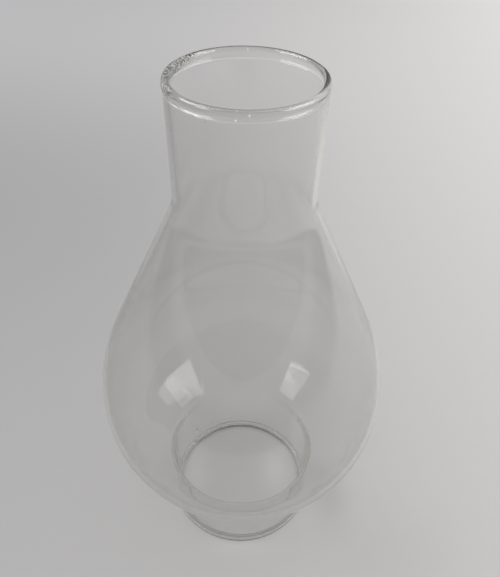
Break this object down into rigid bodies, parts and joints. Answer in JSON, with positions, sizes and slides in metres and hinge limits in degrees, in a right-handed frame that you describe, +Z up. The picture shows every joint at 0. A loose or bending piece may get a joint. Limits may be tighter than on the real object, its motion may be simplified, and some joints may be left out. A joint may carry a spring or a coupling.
{
  "type": "oil lamp chimney",
  "caption": "Clear glass chimney for a flat-wick oil lamp: straight fitter collar, pear-shaped bulb, waist and a straight neck with a fire-polished bead, open at both ends.",
  "frame": {"origin": "centre of the bottom edge, on the flue's axis", "axes": "+Z up along the flue's axis towards the mouth; the object is round about it, so X and Y are free"},
  "size_m": [0.1036, 0.1036, 0.1905],
  "materials": {
    "clear_glass": "clear blown soda-lime glass, fire-polished, with faint drawing streaks and seeds"
  },
  "bodies": {
    "root": {"glass_chimney": "clear_glass"}
  },
  "joints": []
}
